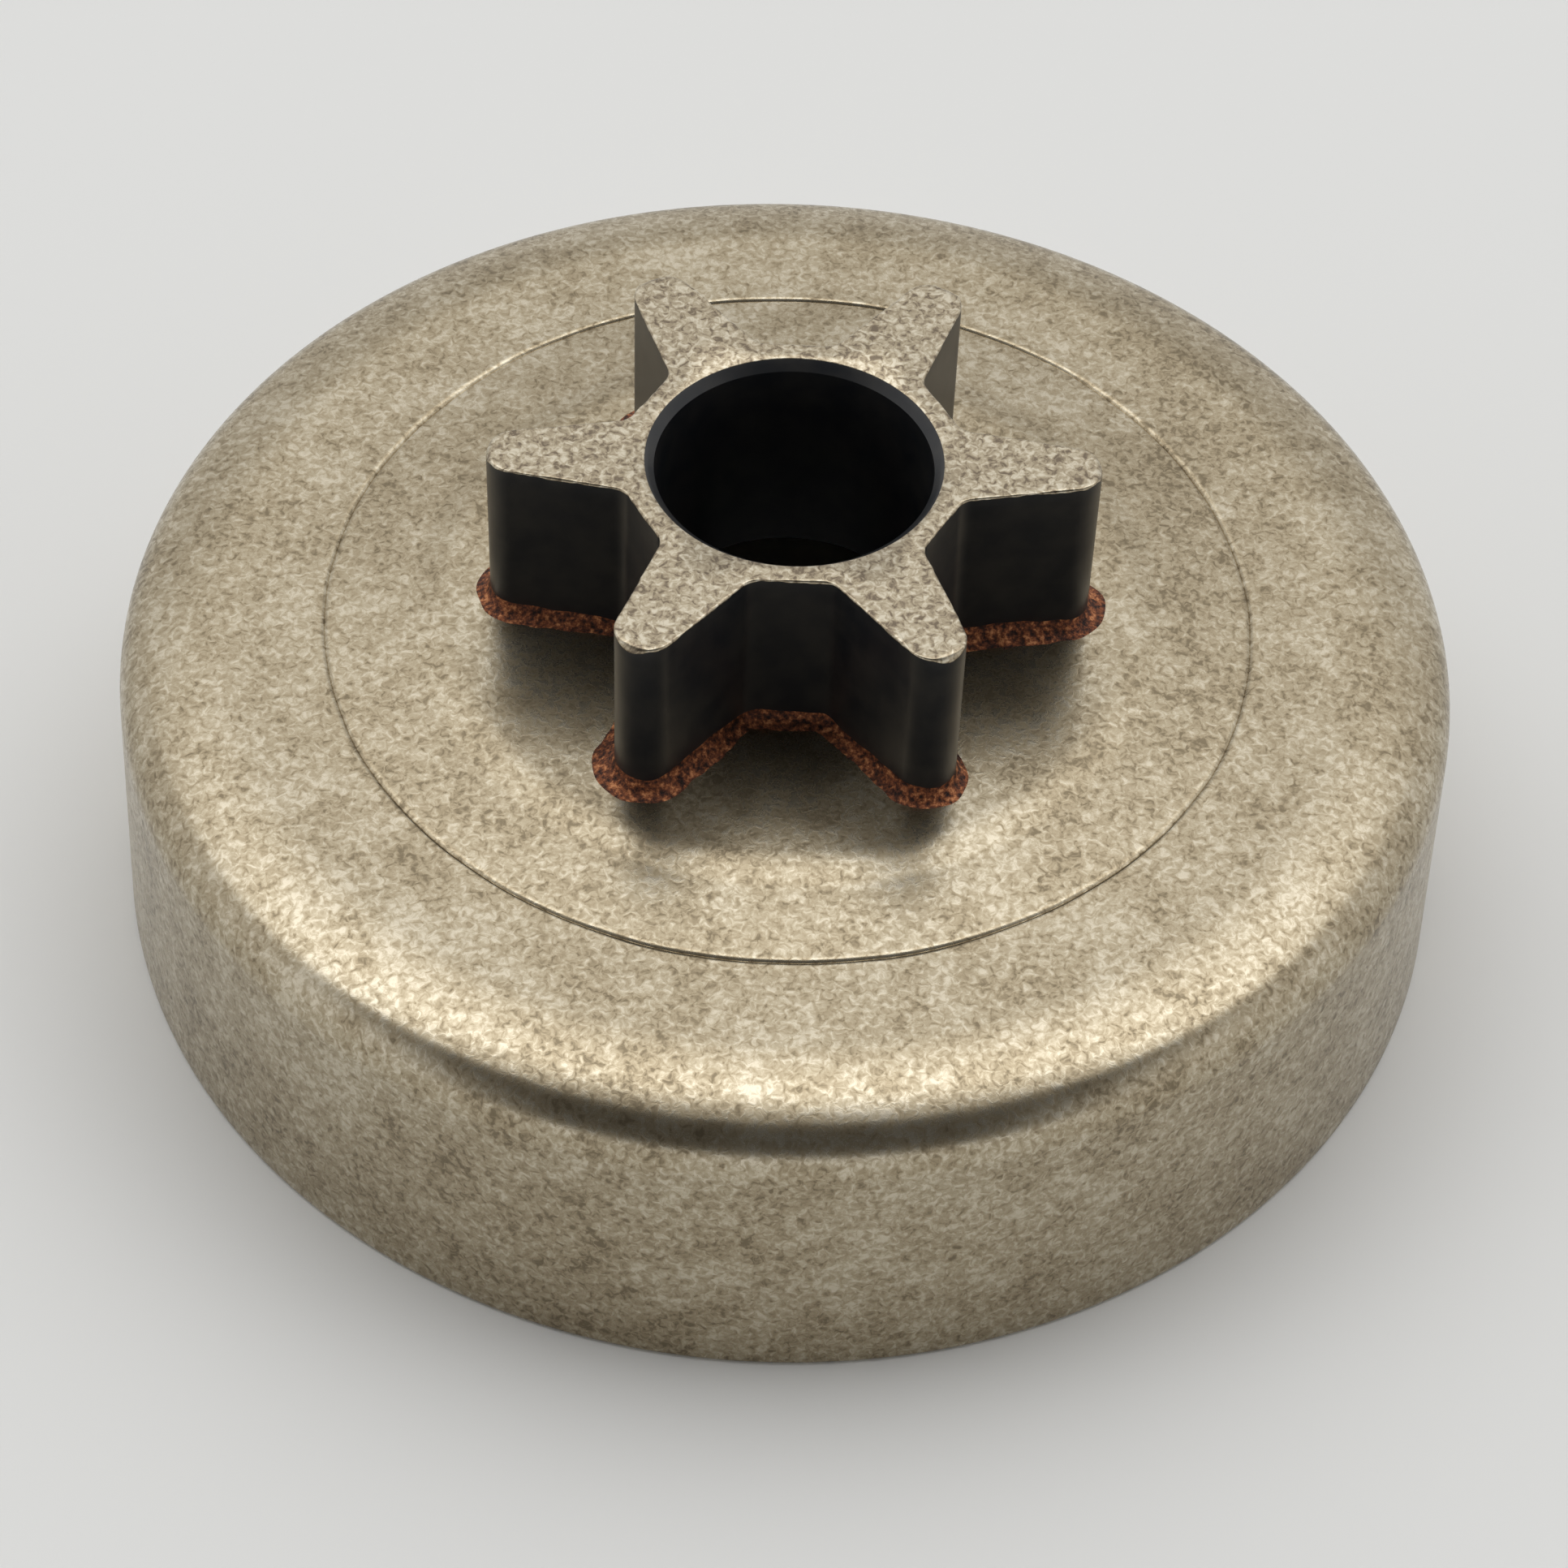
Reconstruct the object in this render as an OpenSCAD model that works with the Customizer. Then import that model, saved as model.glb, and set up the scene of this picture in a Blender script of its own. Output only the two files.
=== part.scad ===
// Clutch drum of a chainsaw: a drawn steel cup with a six-tooth chain sprocket brazed on its floor.
// The cup stands on its open rim at z = 0, and +Z runs up the shaft axis to the sprocket's end face.
// All sizes are in millimetres and all angles in degrees.

/* [Cup] */
// Inner diameter of the wall, the track that the clutch shoes grip
track_d = 65; // [60:0.5:75]
// Thickness of the sheet that the cup is drawn from
sheet_t = 2; // [1.4:0.1:2.5]
// Height from the open rim to the flat ring round the top
cup_h = 17.3; // [14:0.1:24]
// How far the wall's outside stands out at the rim, where the draw has thickened it
rim_swell = 0.55; // [0.1:0.05:1]
// Bevel that breaks both edges of the rim
rim_break = 0.3; // [0.1:0.05:0.6]

/* [Corner] */
// Radius of the gentle arc where the flat ring begins to fall
shoulder_r = 10.3; // [6:0.1:14]
// Angle that the gentle arc turns through
shoulder_turn = 23; // [12:1:32]
// Radius of the tight arc that turns the rest of the way into the wall
corner_r = 2.85; // [2.6:0.05:4.5]

/* [Seat] */
// Diameter of the coined crease between the flat ring and the raised middle
crease_d = 47.6; // [44:0.1:52]
// Width of the crease
crease_w = 0.3; // [0.1:0.05:0.6]
// Depth of the crease
crease_depth = 0.1; // [0.05:0.01:0.3]
// Slope of the cone that rises inward from the crease
cone_slope = 4.5; // [2:0.5:6]
// Slope of the short flank round the flat seat
flank_slope = 8; // [6.5:0.5:12]
// Straight run of that flank, seen from above
flank_run = 0.8; // [0.4:0.1:1.5]
// Radius of the two arcs that round the flank off above and below
seat_round_r = 8; // [4:0.5:10]
// Flat floor left round the tips of the sprocket's teeth
seat_margin = 1.85; // [1.2:0.05:2.4]

/* [Sprocket] */
// Number of teeth
teeth = 6; // [5:1:7]
// Diameter over the tips
tip_d = 30.7; // [29:0.1:33]
// Distance between two opposite root flats
root_flats = 17.05; // [16.9:0.05:19]
// Radius of the full round on each tip
tip_r = 1.55; // [1.2:0.05:1.9]
// Lean of each flank from the tooth's own centre line
flank_lean = 10; // [6:0.5:14]
// Radius of the fillet between a flank and a root flat
root_r = 1.05; // [0.95:0.05:1.4]
// Height of the teeth above the seat
tooth_h = 9.9; // [7:0.1:14]
// Bevel turned on the blank's upper edge before the teeth are cut
tip_bevel = 0.35; // [0.1:0.05:0.8]

/* [Hub] */
// Diameter of the bore, which a needle bearing runs in
bore_d = 14; // [12:0.1:14.4]
// Bevel at the bore's upper mouth
bore_lead = 0.5; // [0.2:0.05:0.6]
// Bevel at the bore's lower mouth
bore_tail = 0.3; // [0.1:0.05:0.5]
// Diameter of the spigot that passes down through the floor
hub_d = 16.4; // [15.6:0.1:16.8]
// How far the spigot stands out below the floor
hub_proud = 0.75; // [0.2:0.05:2]

/* [Braze] */
// Gap between the spigot and the hole in the floor
braze_gap = 0.05; // [0.02:0.01:0.1]
// Leg of the bead of filler, along the floor and up the flank
bead_leg = 0.85; // [0.4:0.05:0.9]

/* [Hidden] */
$fn = 144;
// Chords in the shoulder, the corner and a seat arc
shoulder_steps = 8;
corner_steps = 16;
seat_steps = 4;
// Chords in a tooth's tip, in a root fillet and in the hollow of the bead
tip_steps = 14;
fillet_steps = 6;
bead_steps = 4;
// Distance of the hollow's centre from the flank and from the floor, in bead legs
bead_hollow = 1.25;
// Length by which a cutter runs past the face that it cuts
past = 1;

// Cup: radii at the wall, then the centres of the two corner arcs as [radius, height]
track_r = track_d / 2;
wall_r = track_r + sheet_t;
rim_r = wall_r + rim_swell;
shoulder_c = [
    wall_r - corner_r - (shoulder_r - corner_r) * sin(shoulder_turn),
    cup_h - shoulder_r
];
corner_c = [wall_r - corner_r, shoulder_c[1] + (shoulder_r - corner_r) * cos(shoulder_turn)];
wall_lean = atan(rim_swell / corner_c[1]);

// Seat: radii from the inside out, then the heights from the crease inward
crease_r = crease_d / 2;
crease_in_r = crease_r - crease_w / 2;
seat_r = tip_d / 2 + seat_margin;
flank_in_r = seat_r + seat_round_r * sin(flank_slope);
flank_out_r = flank_in_r + flank_run;
cone_in_r = flank_out_r + seat_round_r * (sin(flank_slope) - sin(cone_slope));
cone_z = cup_h + (crease_in_r - cone_in_r) * tan(cone_slope);
flank_out_z = cone_z + seat_round_r * (cos(cone_slope) - cos(flank_slope));
flank_in_z = flank_out_z + flank_run * tan(flank_slope);
seat_z = flank_in_z + seat_round_r * (1 - cos(flank_slope));

// Sprocket: heights of its two ends, and the hole that its spigot fills
top_z = seat_z + tooth_h;
hub_z = seat_z - sheet_t - hub_proud;
hole_r = hub_d / 2 + braze_gap;

// Tooth plan, for the tooth on +X: the ways that its upper flank and the root flat beside it face
pitch = 360 / teeth;
flank_way = 90 - flank_lean;
root_way = pitch / 2;
tip_c = [tip_d / 2 - tip_r, 0];
fillet_c = crossing(tip_c * heading(flank_way) + tip_r + root_r, root_flats / 2 + root_r);

function heading(a) = [cos(a), sin(a)];

// Point at distance f from the axis along flank_way, and at distance g along root_way
function crossing(f, g) =
    [f * sin(root_way) - g * sin(flank_way), g * cos(flank_way) - f * cos(root_way)]
    / sin(root_way - flank_way);

// Stations [x, y, way faced] along an arc about c; a negative r makes the arc hollow
function plan_arc(c, r, from, to, steps) = [
    for (i = [0:steps])
        let (a = from + (to - from) * i / steps)
        [c[0] + r * cos(a), c[1] + r * sin(a), a]
];

// The tooth on +X from the root below it to the root above it, and then the whole outline
function tooth_outline() = concat(
    plan_arc([fillet_c[0], -fillet_c[1]], -root_r, -root_way, -flank_way, fillet_steps),
    plan_arc(tip_c, tip_r, -flank_way, flank_way, tip_steps),
    plan_arc(fillet_c, -root_r, flank_way, root_way, fillet_steps)
);

function sprocket_outline() = [
    for (i = [0:teeth - 1], s = tooth_outline())
        let (turn = i * pitch)
        [s[0] * cos(turn) - s[1] * sin(turn), s[0] * sin(turn) + s[1] * cos(turn), s[2] + turn]
];

// Stations [radius, height, tilt] along an arc about c; a negative r puts the centre above the surface
function arc(c, r, from, to, steps) = [
    for (i = [0:steps])
        let (tilt = from + (to - from) * i / steps)
        [c[0] + r * sin(tilt), c[1] + r * cos(tilt), tilt]
];

// Outer skin of the cup from the hole to the wall, up to a given tilt of the corner arc
function skin(last_tilt) = concat(
    [[hole_r, seat_z, 0]],
    arc([seat_r, seat_z - seat_round_r], seat_round_r, 0, flank_slope, seat_steps),
    arc(
        [flank_out_r + seat_round_r * sin(flank_slope), flank_out_z + seat_round_r * cos(flank_slope)],
        -seat_round_r, flank_slope, cone_slope, seat_steps
    ),
    [[crease_in_r, cup_h, 0]],
    arc(shoulder_c, shoulder_r, 0, shoulder_turn, shoulder_steps),
    arc(corner_c, corner_r, shoulder_turn, last_tilt, corner_steps)
);

// The same skin moved inward by depth, square to the surface
function face(stations, depth) = [
    for (s = stations) [s[0] - depth * sin(s[2]), s[1] - depth * cos(s[2])]
];

function reversed(list) = [for (i = [len(list) - 1:-1:0]) list[i]];

module cup_section() {
    polygon(concat(
        face(skin(90 - wall_lean), 0),
        [
            [rim_r, rim_break],
            [rim_r - rim_break, 0],
            [track_r + rim_break, 0],
            [track_r, rim_break]
        ],
        reversed(face(skin(90), sheet_t))
    ));
}

// V-shaped ring that the crease is coined with
module crease_tool() {
    rotate_extrude()
        polygon([
            [crease_r - crease_w / 2 - crease_w, cup_h + 2 * crease_depth],
            [crease_r, cup_h - crease_depth],
            [crease_r + crease_w / 2 + crease_w, cup_h + 2 * crease_depth]
        ]);
}

module drum_cup() {
    color("#9c9482")
        difference() {
            rotate_extrude() cup_section();
            crease_tool();
        }
}

module sprocket_plan() {
    polygon([for (s = sprocket_outline()) [s[0], s[1]]]);
}

// Turned blank that the teeth are cut from, with its bevelled upper edge
module blank() {
    blank_r = tip_d / 2;
    rotate_extrude()
        polygon([
            [0, seat_z - past],
            [blank_r + past, seat_z - past],
            [blank_r + past, top_z - tip_bevel - past],
            [blank_r - tip_bevel, top_z],
            [0, top_z]
        ]);
}

module bore() {
    bore_r = bore_d / 2;
    rotate_extrude()
        polygon([
            [0, hub_z - past],
            [bore_r + bore_tail + past, hub_z - past],
            [bore_r, hub_z + bore_tail],
            [bore_r, top_z - bore_lead],
            [bore_r + bore_lead + past, top_z + past],
            [0, top_z + past]
        ]);
}

module spur_sprocket() {
    color("#6f695d")
        difference() {
            union() {
                intersection() {
                    translate([0, 0, seat_z]) linear_extrude(tooth_h + past) sprocket_plan();
                    blank();
                }
                translate([0, 0, hub_z]) cylinder(h = seat_z + past - hub_z, d = hub_d);
            }
            bore();
        }
}

// Section of the bead as [out from the flank, up from the floor], with a hollow face between its two toes
function bead_section() =
    let (
        hollow_c = bead_hollow * bead_leg,
        hollow_r = norm([hollow_c, hollow_c - bead_leg]),
        toe = asin((hollow_c - bead_leg) / hollow_r)
    )
    concat(
        [[0, 0]],
        [
            for (i = [0:bead_steps])
                let (a = toe + (90 - 2 * toe) * i / bead_steps)
                [hollow_c - hollow_r * sin(a), hollow_c - hollow_r * cos(a)]
        ]
    );

// The section carried once round the sprocket's outline
module braze_fillet() {
    path = sprocket_outline();
    section = bead_section();
    n = len(path);
    m = len(section);
    color("#8c4f30")
        polyhedron(
            points = [
                for (s = path, q = section)
                    [s[0] + q[0] * cos(s[2]), s[1] + q[0] * sin(s[2]), seat_z + q[1]]
            ],
            faces = [
                for (i = [0:n - 1], j = [0:m - 1])
                    let (i2 = (i + 1) % n, j2 = (j + 1) % m)
                    each [
                        [i * m + j, i * m + j2, i2 * m + j2],
                        [i * m + j, i2 * m + j2, i2 * m + j]
                    ]
            ]
        );
}

drum_cup();
spur_sprocket();
braze_fillet();
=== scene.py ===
# Chainsaw clutch drum, standing on its open rim: +Z is the shaft axis and +X runs through one tooth.
import math

import bpy
import numpy as np
from mathutils import Matrix, Vector


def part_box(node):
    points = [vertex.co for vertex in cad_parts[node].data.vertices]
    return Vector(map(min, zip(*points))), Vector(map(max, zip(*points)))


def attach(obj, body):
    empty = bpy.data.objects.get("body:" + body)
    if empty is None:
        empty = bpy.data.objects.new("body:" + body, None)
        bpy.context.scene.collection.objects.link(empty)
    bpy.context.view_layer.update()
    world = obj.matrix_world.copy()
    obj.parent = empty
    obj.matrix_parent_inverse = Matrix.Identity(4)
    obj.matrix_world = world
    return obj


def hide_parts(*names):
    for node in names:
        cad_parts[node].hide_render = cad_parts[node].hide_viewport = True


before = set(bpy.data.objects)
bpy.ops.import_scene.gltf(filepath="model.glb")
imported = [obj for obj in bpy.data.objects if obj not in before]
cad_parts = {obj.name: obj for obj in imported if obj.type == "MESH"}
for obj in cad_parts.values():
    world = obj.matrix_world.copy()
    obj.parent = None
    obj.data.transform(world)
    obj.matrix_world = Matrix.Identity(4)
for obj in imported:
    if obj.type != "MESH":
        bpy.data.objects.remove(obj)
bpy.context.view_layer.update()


# Drum cup: a disc of 2 mm sheet steel drawn into a cup, with its raised seat coined inside a fine crease.
# It has been through a copper brazing furnace and a tumbling barrel, which left it satin and mottled tan grey.
# Its sizes are millimetres in the frame's axes, and MM turns them into metres.
MM = 0.001
SHEET_T = 2.0
SHOULDER_R = 10.3
SHOULDER_TURN = math.radians(23.0)
CORNER_R = 2.85
RIM_SWELL = 0.55
RIM_ROUND = 0.3
CREASE_R = 23.8
CREASE_W = 0.34
CREASE_DEPTH = 0.1
CREASE_WANDER = 0.035
COIN_BURR = 0.03
COIN_BURR_W = 0.9
CONE_SLOPE = math.radians(4.5)
FLANK_SLOPE = math.radians(8.0)
FLANK_RUN = 0.8
SEAT_ROUND_R = 8.0
SEAT_R = 17.2
CUP_H = 17.3
HUB_R = 8.2
HOLE_GAP = 0.05
CUP_TURNS = 440
low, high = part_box("drum_cup")
RIM_R = high.x / MM
WALL_R = RIM_R - RIM_SWELL
TRACK_R = WALL_R - SHEET_T


def arc(centre, radius, tilt_from, tilt_to, steps):
    """Profile stations [radius, height, tilt] on an arc: the centre plus radius times (sin tilt, cos tilt).

    The tilt is how far the skin has turned from facing straight up. A negative radius makes the arc hollow.
    """
    tilt = np.linspace(tilt_from, tilt_to, steps)
    return np.stack([centre[0] + radius * np.sin(tilt), centre[1] + radius * np.cos(tilt), tilt], axis=1)


def run(start, end, steps, tilt=0.0):
    """Profile stations along a straight line, without its two ends, all with the same tilt."""
    share = np.linspace(0.0, 1.0, steps + 2)[1:-1]
    return np.stack([start[0] + (end[0] - start[0]) * share, start[1] + (end[1] - start[1]) * share,
                     np.full(steps, tilt)], axis=1)


def ripple(angle, waves, seed):
    """A smooth closed random curve of about unit size: a sum of sines at the given whole wave numbers,
    each with a seeded random phase and a weight that falls as one over the root of its number."""
    rng = np.random.default_rng(seed)
    phase = rng.uniform(0.0, 2.0 * math.pi, len(waves))
    weight = 1.0 / np.sqrt(np.array(waves, float))
    weight /= np.sqrt((weight ** 2).sum() / 2.0)
    return (weight * np.sin(np.multiply.outer(angle, np.array(waves, float)) + phase)).sum(axis=-1)


def ring_mesh(name, points, row_material=None):
    """A closed skin on a grid points[i, j]: each point joins the next in i and in j, and both ways wrap round.

    Faces are wound so that (along i) x (along j) points out. row_material gives each strip's material index.
    """
    count_i, count_j = points.shape[:2]
    i, j = np.meshgrid(np.arange(count_i), np.arange(count_j), indexing="ij")
    next_i, next_j = (i + 1) % count_i, (j + 1) % count_j
    quads = np.stack([i * count_j + j, next_i * count_j + j, next_i * count_j + next_j, i * count_j + next_j],
                     axis=-1).reshape(-1, 4)
    mesh = bpy.data.meshes.new(name)
    mesh.vertices.add(count_i * count_j)
    mesh.vertices.foreach_set("co", (points.reshape(-1, 3) * MM).ravel())
    mesh.loops.add(quads.size)
    mesh.loops.foreach_set("vertex_index", quads.ravel())
    mesh.polygons.add(len(quads))
    mesh.polygons.foreach_set("loop_start", np.arange(len(quads)) * 4)
    mesh.polygons.foreach_set("use_smooth", np.ones(len(quads), bool))
    if row_material is not None:
        mesh.polygons.foreach_set("material_index", np.tile(row_material, count_i))
    mesh.update(calc_edges=True)
    mesh.validate()
    mesh.set_sharp_from_angle(angle=math.radians(32.0))
    piece = bpy.data.objects.new(name, mesh)
    bpy.context.scene.collection.objects.link(piece)
    return piece


def cup_profile():
    """Stations of the cup's closed section: out over the skin, down the wall, round the rim and back inside.

    The skin is the seat, two arcs and a straight flank, the cone, the crease, the flat ring and two corner
    arcs. The inside is the same skin moved inward by the sheet's thickness, square to the surface.
    """
    lean = math.atan(RIM_SWELL / (CUP_H - SHOULDER_R))
    shoulder = (WALL_R - CORNER_R - (SHOULDER_R - CORNER_R) * math.sin(SHOULDER_TURN), CUP_H - SHOULDER_R)
    corner = (WALL_R - CORNER_R, shoulder[1] + (SHOULDER_R - CORNER_R) * math.cos(SHOULDER_TURN))
    lean = math.atan(RIM_SWELL / corner[1])
    flank_in = SEAT_R + SEAT_ROUND_R * math.sin(FLANK_SLOPE)
    flank_out = flank_in + FLANK_RUN
    cone_in = flank_out + SEAT_ROUND_R * (math.sin(FLANK_SLOPE) - math.sin(CONE_SLOPE))
    crease_in = CREASE_R - CREASE_W / 2
    cone_z = CUP_H + (crease_in - cone_in) * math.tan(CONE_SLOPE)
    flank_out_z = cone_z + SEAT_ROUND_R * (math.cos(CONE_SLOPE) - math.cos(FLANK_SLOPE))
    seat_z = flank_out_z + FLANK_RUN * math.tan(FLANK_SLOPE) + SEAT_ROUND_R * (1.0 - math.cos(FLANK_SLOPE))
    hole = HUB_R + HOLE_GAP
    seat_arc = arc((SEAT_R, seat_z - SEAT_ROUND_R), SEAT_ROUND_R, 0.0, FLANK_SLOPE, 7)
    foot_arc = arc((flank_out + SEAT_ROUND_R * math.sin(FLANK_SLOPE),
                    flank_out_z + SEAT_ROUND_R * math.cos(FLANK_SLOPE)),
                   -SEAT_ROUND_R, FLANK_SLOPE, CONE_SLOPE, 5)
    def skin(last_tilt):
        top = [np.array([[hole, seat_z, 0.0]]), run((hole, seat_z), (SEAT_R, seat_z), 5), seat_arc, foot_arc,
               run((cone_in, cone_z), (crease_in - 0.6, CUP_H + 0.6 * math.tan(CONE_SLOPE)), 6, CONE_SLOPE)]
        coined = np.stack([np.linspace(crease_in - 0.6, CREASE_R + 2.4, 34), np.full(34, CUP_H), np.zeros(34)],
                          axis=1)
        rise = np.clip(crease_in - coined[:, 0], 0.0, None) * math.tan(CONE_SLOPE)
        across = (coined[:, 0] - CREASE_R) / (CREASE_W / 2)
        groove = np.where(np.abs(across) < 1.0, 0.5 + 0.5 * np.cos(math.pi * across), 0.0)
        burr = COIN_BURR * np.exp(-np.clip(coined[:, 0] - CREASE_R, 0.0, None) / COIN_BURR_W)
        coined[:, 1] += rise + np.where(coined[:, 0] > CREASE_R, burr, 0.0) - CREASE_DEPTH * groove
        ring = run((CREASE_R + 2.4, CUP_H), (shoulder[0], CUP_H), 3)
        return np.concatenate(top + [coined, ring, arc(shoulder, SHOULDER_R, 0.0, SHOULDER_TURN, 22),
                                     arc(corner, CORNER_R, SHOULDER_TURN, last_tilt, 28)[1:]])
    outside = skin(math.pi / 2 - lean)
    wall = run(outside[-1], (RIM_R, RIM_ROUND), 14)
    rim_out = arc((RIM_R - RIM_ROUND, RIM_ROUND), RIM_ROUND, math.pi / 2, math.pi, 6)
    rim_in = arc((TRACK_R + RIM_ROUND, RIM_ROUND), RIM_ROUND, math.pi, 1.5 * math.pi, 6)
    rim_in[:, 0] = TRACK_R + RIM_ROUND - (RIM_ROUND * -np.sin(rim_in[:, 2]))
    plain = np.concatenate([np.array([[hole, seat_z, 0.0]]), seat_arc, foot_arc,
                            np.array([[crease_in, CUP_H, 0.0]]), arc(shoulder, SHOULDER_R, 0.0, SHOULDER_TURN, 10),
                            arc(corner, CORNER_R, SHOULDER_TURN, math.pi / 2, 12)[1:]])
    inside = np.stack([plain[:, 0] - SHEET_T * np.sin(plain[:, 2]), plain[:, 1] - SHEET_T * np.cos(plain[:, 2]),
                       plain[:, 2]], axis=1)[::-1]
    track = run((TRACK_R, RIM_ROUND), inside[0], 8)
    return np.concatenate([outside, wall, rim_out, rim_in, track, inside])


def revolve(profile, turns):
    """Grid [turn, station] of the profile turned round +Z, with the crease wandering a little off its circle."""
    angle = np.arange(turns) * (2.0 * math.pi / turns)
    wander = CREASE_WANDER * ripple(angle, (2, 3, 5, 9, 14, 23, 37), 11)
    near = np.exp(-((profile[:, 0] - CREASE_R) / 1.2) ** 2) * (profile[:, 1] > CUP_H - 1.0)
    radius = profile[None, :, 0] + wander[:, None] * near[None, :]
    height = np.broadcast_to(profile[None, :, 1], radius.shape)
    return np.stack([radius * np.cos(angle)[:, None], radius * np.sin(angle)[:, None], height], axis=-1)


def linear(hex_colour):
    """Linear RGBA of an sRGB hex: c / 12.92 up to 0.04045, and ((c + 0.055) / 1.055) ^ 2.4 above it."""
    parts = [int(hex_colour[k:k + 2], 16) / 255.0 for k in (1, 3, 5)]
    return tuple(c / 12.92 if c <= 0.04045 else ((c + 0.055) / 1.055) ** 2.4 for c in parts) + (1.0,)


def add_node(tree, kind, inputs=None, links=None, **settings):
    """Adds one node: settings are its own properties, inputs its socket values, and links its sockets' sources."""
    node = tree.nodes.new(kind)
    for name, value in settings.items():
        setattr(node, name, value)
    for key, value in (inputs or {}).items():
        node.inputs[key].default_value = value
    for key, source in (links or {}).items():
        tree.links.new(source, node.inputs[key])
    return node


def start_material(name):
    """An empty node material and its tree, with its Principled shader wired to the output."""
    material = bpy.data.materials.new(name)
    material.use_nodes = True
    tree = material.node_tree
    tree.nodes.clear()
    shader = add_node(tree, "ShaderNodeBsdfPrincipled")
    add_node(tree, "ShaderNodeOutputMaterial", links={"Surface": shader.outputs["BSDF"]})
    return material, tree, shader


def tumbled_steel():
    """Drawn low-carbon steel, furnace brazed and barrel tumbled.

    The barrel leaves short dull marks about 0.4 mm across, so the eye sees a satin skin with fine mottle.
    """
    material, tree, shader = start_material("tumbled_drawn_steel")
    where = add_node(tree, "ShaderNodeTexCoord").outputs["Object"]
    fleck = add_node(tree, "ShaderNodeTexNoise", {"Scale": 1 / (0.42 * MM), "Detail": 3.0, "Roughness": 0.62,
                     "Distortion": 0.7}, {"Vector": where}).outputs["Fac"]
    patch = add_node(tree, "ShaderNodeTexNoise", {"Scale": 1 / (2.4 * MM), "Detail": 2.0}, {"Vector": where}
                     ).outputs["Fac"]
    cloud = add_node(tree, "ShaderNodeTexNoise", {"Scale": 1 / (15.0 * MM), "Detail": 1.0}, {"Vector": where}
                     ).outputs["Fac"]
    blend = add_node(tree, "ShaderNodeMath", {1: 0.62}, {0: fleck}, operation="MULTIPLY").outputs[0]
    blend = add_node(tree, "ShaderNodeMath", {1: 0.22}, {0: patch, 2: blend}, operation="MULTIPLY_ADD").outputs[0]
    blend = add_node(tree, "ShaderNodeMath", {1: 0.16}, {0: cloud, 2: blend}, operation="MULTIPLY_ADD").outputs[0]
    tone = add_node(tree, "ShaderNodeValToRGB", links={"Fac": blend})
    stops = ((0.38, "#7c705b"), (0.46, "#a09279"), (0.53, "#b0a48c"), (0.62, "#c9bfaa"))
    for k, (at, colour) in enumerate(stops):
        stop = tone.color_ramp.elements[k] if k < 2 else tone.color_ramp.elements.new(at)
        stop.position = at
        stop.color = linear(colour)
    tree.links.new(tone.outputs["Color"], shader.inputs["Base Color"])
    shader.inputs["Metallic"].default_value = 1.0
    rough = add_node(tree, "ShaderNodeMapRange", {"From Min": 0.35, "From Max": 0.65, "To Min": 0.33, "To Max": 0.23},
                     {"Value": fleck})
    tree.links.new(rough.outputs["Result"], shader.inputs["Roughness"])
    bump = add_node(tree, "ShaderNodeBump", {"Strength": 1.0, "Distance": 0.008 * MM}, {"Height": fleck})
    tree.links.new(bump.outputs["Normal"], shader.inputs["Normal"])
    return material


drum_cup = ring_mesh("drum_cup_skin", revolve(cup_profile(), CUP_TURNS))
drum_cup.data.materials.append(tumbled_steel())
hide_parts("drum_cup")
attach(drum_cup, "root")


# Spur sprocket: one turned steel blank whose six teeth were broached, with a plain bore for a needle bearing.
# Its end face was faced on a lathe, and the furnace left the flanks and the bore blue black.
TEETH = 6
TIP_R = 15.35
ROOT_FLAT_R = 8.525
TIP_ROUND = 1.55
FLANK_LEAN = math.radians(10.0)
ROOT_ROUND = 1.05
BORE_R = 7.0
BORE_LEAD = 0.5
BORE_TAIL = 0.3
BLANK_BEVEL = 0.35
EDGE_BREAK = 0.11
HUB_PROUD = 0.75
OUTLINE_STEP = 0.15
sprocket_low, sprocket_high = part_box("spur_sprocket")
TOP_Z = sprocket_high.z / MM
HUB_Z = sprocket_low.z / MM
SEAT_Z = HUB_Z + HUB_PROUD + SHEET_T


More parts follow.
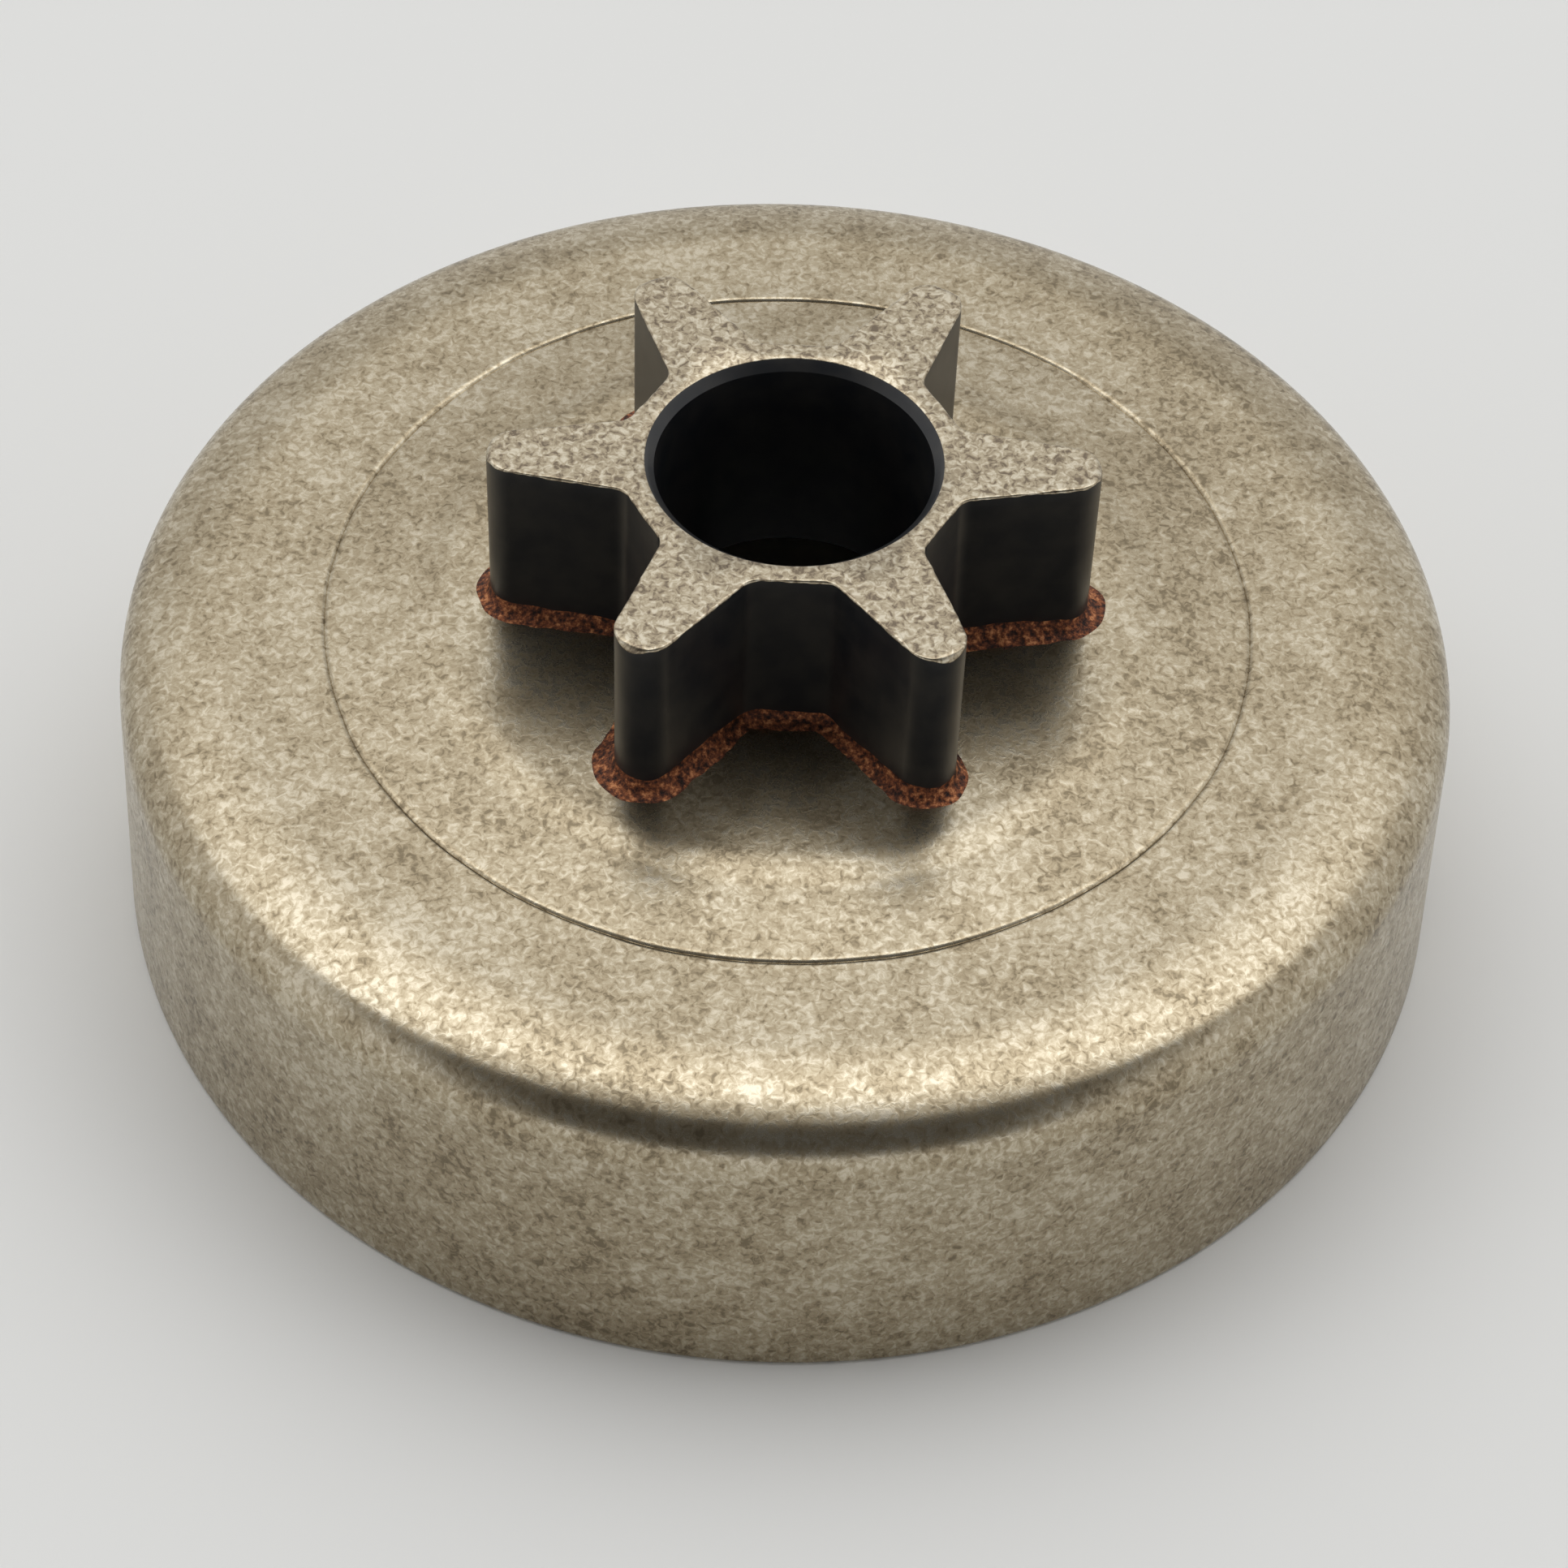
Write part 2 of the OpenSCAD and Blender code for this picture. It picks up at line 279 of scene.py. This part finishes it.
def sprocket_outline(step):
    """Points and outward normals round the teeth, about one step apart.

    Half a tooth is a tip arc, a straight flank that leans from the tooth's middle, a hollow root arc and half
    a root flat. The half is mirrored in the tooth's middle, and the tooth is repeated round the axis.
    """
    pitch = 2.0 * math.pi / TEETH
    flank_way, root_way = math.pi / 2 - FLANK_LEAN, pitch / 2
    tip_c = np.array([TIP_R - TIP_ROUND, 0.0])
    f = tip_c[0] * math.cos(flank_way) + TIP_ROUND + ROOT_ROUND
    g = ROOT_FLAT_R + ROOT_ROUND
    turn = math.sin(root_way - flank_way)
    root_c = np.array([(f * math.sin(root_way) - g * math.sin(flank_way)) / turn,
                       (g * math.cos(flank_way) - f * math.cos(root_way)) / turn])

    def bend(centre, radius, start, end):
        way = np.linspace(start, end, max(4, int(abs(radius * (end - start)) / step) + 2))
        return np.stack([centre[0] + radius * np.cos(way), centre[1] + radius * np.sin(way), way], axis=1)

    def straight(start, end, way):
        count = int(math.dist(start, end) / step)
        share = np.linspace(0.0, 1.0, count + 2)[1:-1, None]
        return np.hstack([np.array(start)[None] + (np.array(end) - np.array(start))[None] * share,
                          np.full((count, 1), way)])
    tip = bend(tip_c, TIP_ROUND, 0.0, flank_way)
    root = bend(root_c, -ROOT_ROUND, flank_way, root_way)
    middle = ROOT_FLAT_R * np.array([math.cos(root_way), math.sin(root_way)])
    half = np.concatenate([tip, straight(tip[-1, :2], root[0, :2], flank_way), root,
                           straight(root[-1, :2], middle, root_way)])
    other = half[1:][::-1] * np.array([1.0, -1.0, -1.0])
    tooth = np.concatenate([other, half])
    parts = []
    for k in range(TEETH):
        c, s = math.cos(k * pitch), math.sin(k * pitch)
        parts.append(np.stack([tooth[:, 0] * c - tooth[:, 1] * s, tooth[:, 0] * s + tooth[:, 1] * c,
                               tooth[:, 2] + k * pitch], axis=1))
    line = np.concatenate(parts)
    return line[:, :2], np.stack([np.cos(line[:, 2]), np.sin(line[:, 2])], axis=1)


def sprocket_points():
    """Grid [outline station, row]: up the bore, over its bevel, across the end face, over the broken edge,
    down the flank, in along the seat and down the spigot. Rows on circles use each station's own bearing."""
    outline, normal = sprocket_outline(OUTLINE_STEP)
    bearing = np.arctan2(outline[:, 1], outline[:, 0])
    ray = np.stack([np.cos(bearing), np.sin(bearing)], axis=1)
    reach = np.hypot(outline[:, 0], outline[:, 1])
    along = np.cumsum(np.hypot(*(outline - np.roll(outline, 1, axis=0)).T))
    nick = 0.05 * ripple(along * (2 * math.pi / along[-1]), (23, 41, 67, 97, 131, 173, 211), 5)
    broken = np.maximum(EDGE_BREAK + nick * 0.6, 0.05)
    bevel = np.clip(reach - (TIP_R - BLANK_BEVEL), 0.0, None)
    cut = np.maximum(broken, bevel + 0.3 * nick * (bevel > 0.05))
    rows, kinds = [], []

    def circle(radius, z, kind):
        rows.append(np.column_stack([ray * radius, np.full(len(ray), z)]))
        kinds.append(kind)
    for z in np.linspace(HUB_Z + BORE_TAIL, TOP_Z - BORE_LEAD, 8):
        circle(BORE_R, z, 1)
    circle(BORE_R + BORE_LEAD * 0.5, TOP_Z - BORE_LEAD * 0.5, 1)
    circle(BORE_R + BORE_LEAD * 0.94, TOP_Z - BORE_LEAD * 0.08, 0)
    circle(BORE_R + BORE_LEAD * 1.08, TOP_Z, 0)
    inner = outline - normal * cut[:, None]
    start = ray * (BORE_R + BORE_LEAD * 1.08)
    for share in (0.3, 0.65, 0.97):
        rows.append(np.column_stack([start + (inner - start) * share, np.full(len(ray), TOP_Z)]))
        kinds.append(0)
    for quarter in np.linspace(0.0, math.pi / 2, 6):
        spot = outline - normal * (cut * (1.0 - math.sin(quarter)))[:, None]
        rows.append(np.column_stack([spot, TOP_Z - cut * (1.0 - math.cos(quarter))]))
        kinds.append(0)
    kinds[-1] = 1
    for z in np.linspace(TOP_Z - 0.9, SEAT_Z, 7):
        rows.append(np.column_stack([outline, np.full(len(ray), z)]))
        kinds.append(1)
    for z in np.linspace(SEAT_Z, HUB_Z, 4):
        circle(HUB_R, z, 1)
    circle(BORE_R + BORE_TAIL, HUB_Z, 1)
    return np.stack(rows, axis=1), np.array(kinds)


def faced_steel():
    """Lathe-faced steel, tumbled after it was brazed, with the same fine tan mottle as the cup."""
    material, tree, shader = start_material("faced_tumbled_steel")
    where = add_node(tree, "ShaderNodeTexCoord").outputs["Object"]
    fleck = add_node(tree, "ShaderNodeTexNoise", {"Scale": 1 / (0.42 * MM), "Detail": 3.0, "Roughness": 0.62,
                     "Distortion": 0.7}, {"Vector": where}).outputs["Fac"]
    tone = add_node(tree, "ShaderNodeValToRGB", links={"Fac": fleck})
    stops = ((0.36, "#75695a"), (0.45, "#9c8f79"), (0.53, "#b1a58e"), (0.64, "#cdc4b0"))
    for k, (at, colour) in enumerate(stops):
        stop = tone.color_ramp.elements[k] if k < 2 else tone.color_ramp.elements.new(at)
        stop.position = at
        stop.color = linear(colour)
    tree.links.new(tone.outputs["Color"], shader.inputs["Base Color"])
    shader.inputs["Metallic"].default_value = 1.0
    shader.inputs["Roughness"].default_value = 0.3
    bump = add_node(tree, "ShaderNodeBump", {"Strength": 1.0, "Distance": 0.006 * MM}, {"Height": fleck})
    tree.links.new(bump.outputs["Normal"], shader.inputs["Normal"])
    return material


def furnace_black():
    """Steel under a thin blue-black furnace oxide: nearly black face on, and a grey sheen at a low angle."""
    material, tree, shader = start_material("furnace_black_oxide")
    where = add_node(tree, "ShaderNodeTexCoord").outputs["Object"]
    patch = add_node(tree, "ShaderNodeTexNoise", {"Scale": 1 / (1.6 * MM), "Detail": 3.0}, {"Vector": where}
                     ).outputs["Fac"]
    tone = add_node(tree, "ShaderNodeValToRGB", links={"Fac": patch})
    for stop, (at, colour) in zip(tone.color_ramp.elements, ((0.35, "#16181c"), (0.68, "#282726"))):
        stop.position = at
        stop.color = linear(colour)
    tree.links.new(tone.outputs["Color"], shader.inputs["Base Color"])
    shader.inputs["Roughness"].default_value = 0.36
    return material


grid, kinds = sprocket_points()
sprocket = ring_mesh("spur_sprocket_skin", grid, kinds)
sprocket.data.materials.append(faced_steel())
sprocket.data.materials.append(furnace_black())
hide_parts("spur_sprocket")
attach(sprocket, "root")


# Braze bead: copper filler that was laid round the foot of the teeth and flowed into the joint in the furnace.
# It froze as a thin hollow bead, widest at the tooth tips, and has tarnished from orange to dark brown.
BEAD_LEG = 0.85
BEAD_HOLLOW = 1.25


def bead_points():
    """Grid [outline station, section point]: a hollow arc between two toes, carried round the outline.

    The leg on the floor and the leg up the flank each vary by a ripple of their own.
    """
    outline, normal = sprocket_outline(OUTLINE_STEP)
    count = len(outline)
    angle = np.arange(count) * (2 * math.pi / count)
    reach = np.hypot(outline[:, 0], outline[:, 1])
    out = BEAD_LEG * (1.0 + 0.16 * ripple(angle, (3, 7, 17, 31, 59, 101), 3)) * np.where(reach < 11.0, 0.85, 1.0)
    up = BEAD_LEG * (0.9 + 0.14 * ripple(angle, (4, 9, 19, 37, 71), 8))
    hollow_r = math.hypot(BEAD_HOLLOW, BEAD_HOLLOW - 1.0)
    toe = math.asin((BEAD_HOLLOW - 1.0) / hollow_r)
    way = np.linspace(toe, math.pi / 2 - toe, 9)
    across = np.concatenate([BEAD_HOLLOW - hollow_r * np.sin(way), [0.0]])
    rise = np.concatenate([BEAD_HOLLOW - hollow_r * np.cos(way), [0.0]])
    x = outline[:, None, 0] + normal[:, None, 0] * out[:, None] * across[None]
    y = outline[:, None, 1] + normal[:, None, 1] * out[:, None] * across[None]
    z = SEAT_Z + up[:, None] * rise[None]
    return np.stack([x, y, z], axis=-1)[:, ::-1]


def copper_filler():
    """Copper brazing filler, rough and tarnished: dark brown with bright orange where it was rubbed."""
    material, tree, shader = start_material("tarnished_copper_filler")
    where = add_node(tree, "ShaderNodeTexCoord").outputs["Object"]
    fleck = add_node(tree, "ShaderNodeTexNoise", {"Scale": 1 / (0.35 * MM), "Detail": 3.0, "Roughness": 0.7},
                     {"Vector": where}).outputs["Fac"]
    tone = add_node(tree, "ShaderNodeValToRGB", links={"Fac": fleck})
    stops = ((0.36, "#24140f"), (0.47, "#5a3220"), (0.56, "#8a5030"), (0.68, "#c98a5c"))
    for k, (at, colour) in enumerate(stops):
        stop = tone.color_ramp.elements[k] if k < 2 else tone.color_ramp.elements.new(at)
        stop.position = at
        stop.color = linear(colour)
    tree.links.new(tone.outputs["Color"], shader.inputs["Base Color"])
    shader.inputs["Metallic"].default_value = 0.6
    shader.inputs["Roughness"].default_value = 0.55
    bump = add_node(tree, "ShaderNodeBump", {"Strength": 1.0, "Distance": 0.05 * MM}, {"Height": fleck})
    tree.links.new(bump.outputs["Normal"], shader.inputs["Normal"])
    return material


bead = ring_mesh("braze_fillet_bead", bead_points())
bead.data.materials.append(copper_filler())
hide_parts("braze_fillet")
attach(bead, "root")


# Floor: a plain pale matt sheet under the rim.
def matt_floor():
    """Matt white board, which takes a soft shadow."""
    material, tree, shader = start_material("matt_white_board")
    shader.inputs["Base Color"].default_value = linear("#ececea")
    shader.inputs["Roughness"].default_value = 0.9
    return material


floor_mesh = bpy.data.meshes.new("floor")
side = 1.6
floor_mesh.from_pydata([(-side, -side, 0), (side, -side, 0), (side, side, 0), (-side, side, 0)], [], [(0, 1, 2, 3)])
floor = bpy.data.objects.new("floor", floor_mesh)
bpy.context.scene.collection.objects.link(floor)
floor.data.materials.append(matt_floor())


# Studio: a white tent, bright overhead and towards the back, with a dark gap where the camera stands.
def studio():
    """World radiance by direction: the angle from the front horizon over the top to the back picks a stop,
    and directions far to either side go to the tent's plain level."""
    world = bpy.data.worlds.new("tent")
    bpy.context.scene.world = world
    world.use_nodes = True
    tree = world.node_tree
    tree.nodes.clear()
    way = add_node(tree, "ShaderNodeTexCoord").outputs["Generated"]
    split = add_node(tree, "ShaderNodeSeparateXYZ", links={"Vector": way})
    front = add_node(tree, "ShaderNodeMath", {1: -1.0}, {0: split.outputs["Y"]}, operation="MULTIPLY").outputs[0]
    over = add_node(tree, "ShaderNodeMath", links={0: split.outputs["Z"], 1: front}, operation="ARCTAN2").outputs[0]
    share = add_node(tree, "ShaderNodeMath", {1: math.pi}, {0: over}, operation="DIVIDE").outputs[0]
    level = add_node(tree, "ShaderNodeValToRGB", links={"Fac": share})
    stops = ((0, 0.85), (11, 0.8), (17, 0.1), (84, 0.08), (89, 1.2), (93, 2.5), (98, 2.45), (108, 1.9), (118, 1.7),
             (129, 1.24), (139, 0.93), (150, 0.75), (180, 0.85))
    top = 2.5
    for k, (degrees, value) in enumerate(stops):
        stop = level.color_ramp.elements[k] if k < 2 else level.color_ramp.elements.new(degrees / 180.0)
        stop.position = degrees / 180.0
        stop.color = (value / top, value / top, value / top, 1.0)
    aside = add_node(tree, "ShaderNodeMath", links={0: split.outputs["X"]}, operation="ABSOLUTE").outputs[0]
    far = add_node(tree, "ShaderNodeMapRange", {"From Min": 0.5, "From Max": 0.85}, {"Value": aside},
                   interpolation_type="SMOOTHSTEP").outputs["Result"]
    plain = 0.85 / top
    mix = add_node(tree, "ShaderNodeMix", {7: (plain, plain, plain, 1.0)}, {0: far, 6: level.outputs["Color"]},
                   data_type="RGBA")
    back = add_node(tree, "ShaderNodeBackground", {"Strength": top}, {"Color": mix.outputs[2]})
    add_node(tree, "ShaderNodeOutputWorld", links={"Surface": back.outputs["Background"]})


studio()


# Camera: placed from a fit of the drum's ring, bore and outline in the photograph.
LENS_PX = 5155.66
IMAGE_PX = 1932.0
SENSOR = 36.0
ELEVATION = 0.794
BEARING = math.radians(-90.7)
DISTANCE = 215.98
YAW, PITCH, ROLL = -0.0006, -0.0423, -0.0403
camera_data = bpy.data.cameras.new("camera")
camera_data.sensor_width = SENSOR
camera_data.lens = SENSOR * LENS_PX / IMAGE_PX
camera = bpy.data.objects.new("camera", camera_data)
bpy.context.scene.collection.objects.link(camera)
aim = Vector((0.0, 0.0, CUP_H)) * MM
away = Vector((math.cos(ELEVATION) * math.cos(BEARING), math.cos(ELEVATION) * math.sin(BEARING),
               math.sin(ELEVATION)))
right = Vector((-math.sin(BEARING), math.cos(BEARING), 0.0))
up = right.cross(-away)
base = Matrix((right, up, away)).transposed().to_4x4()
camera.matrix_world = (Matrix.Translation(aim + away * DISTANCE * MM) @ base @ Matrix.Rotation(YAW, 4, "Y")
                       @ Matrix.Rotation(PITCH, 4, "X") @ Matrix.Rotation(-ROLL, 4, "Z"))
bpy.context.scene.camera = camera
bpy.context.scene.view_settings.view_transform = "Standard"
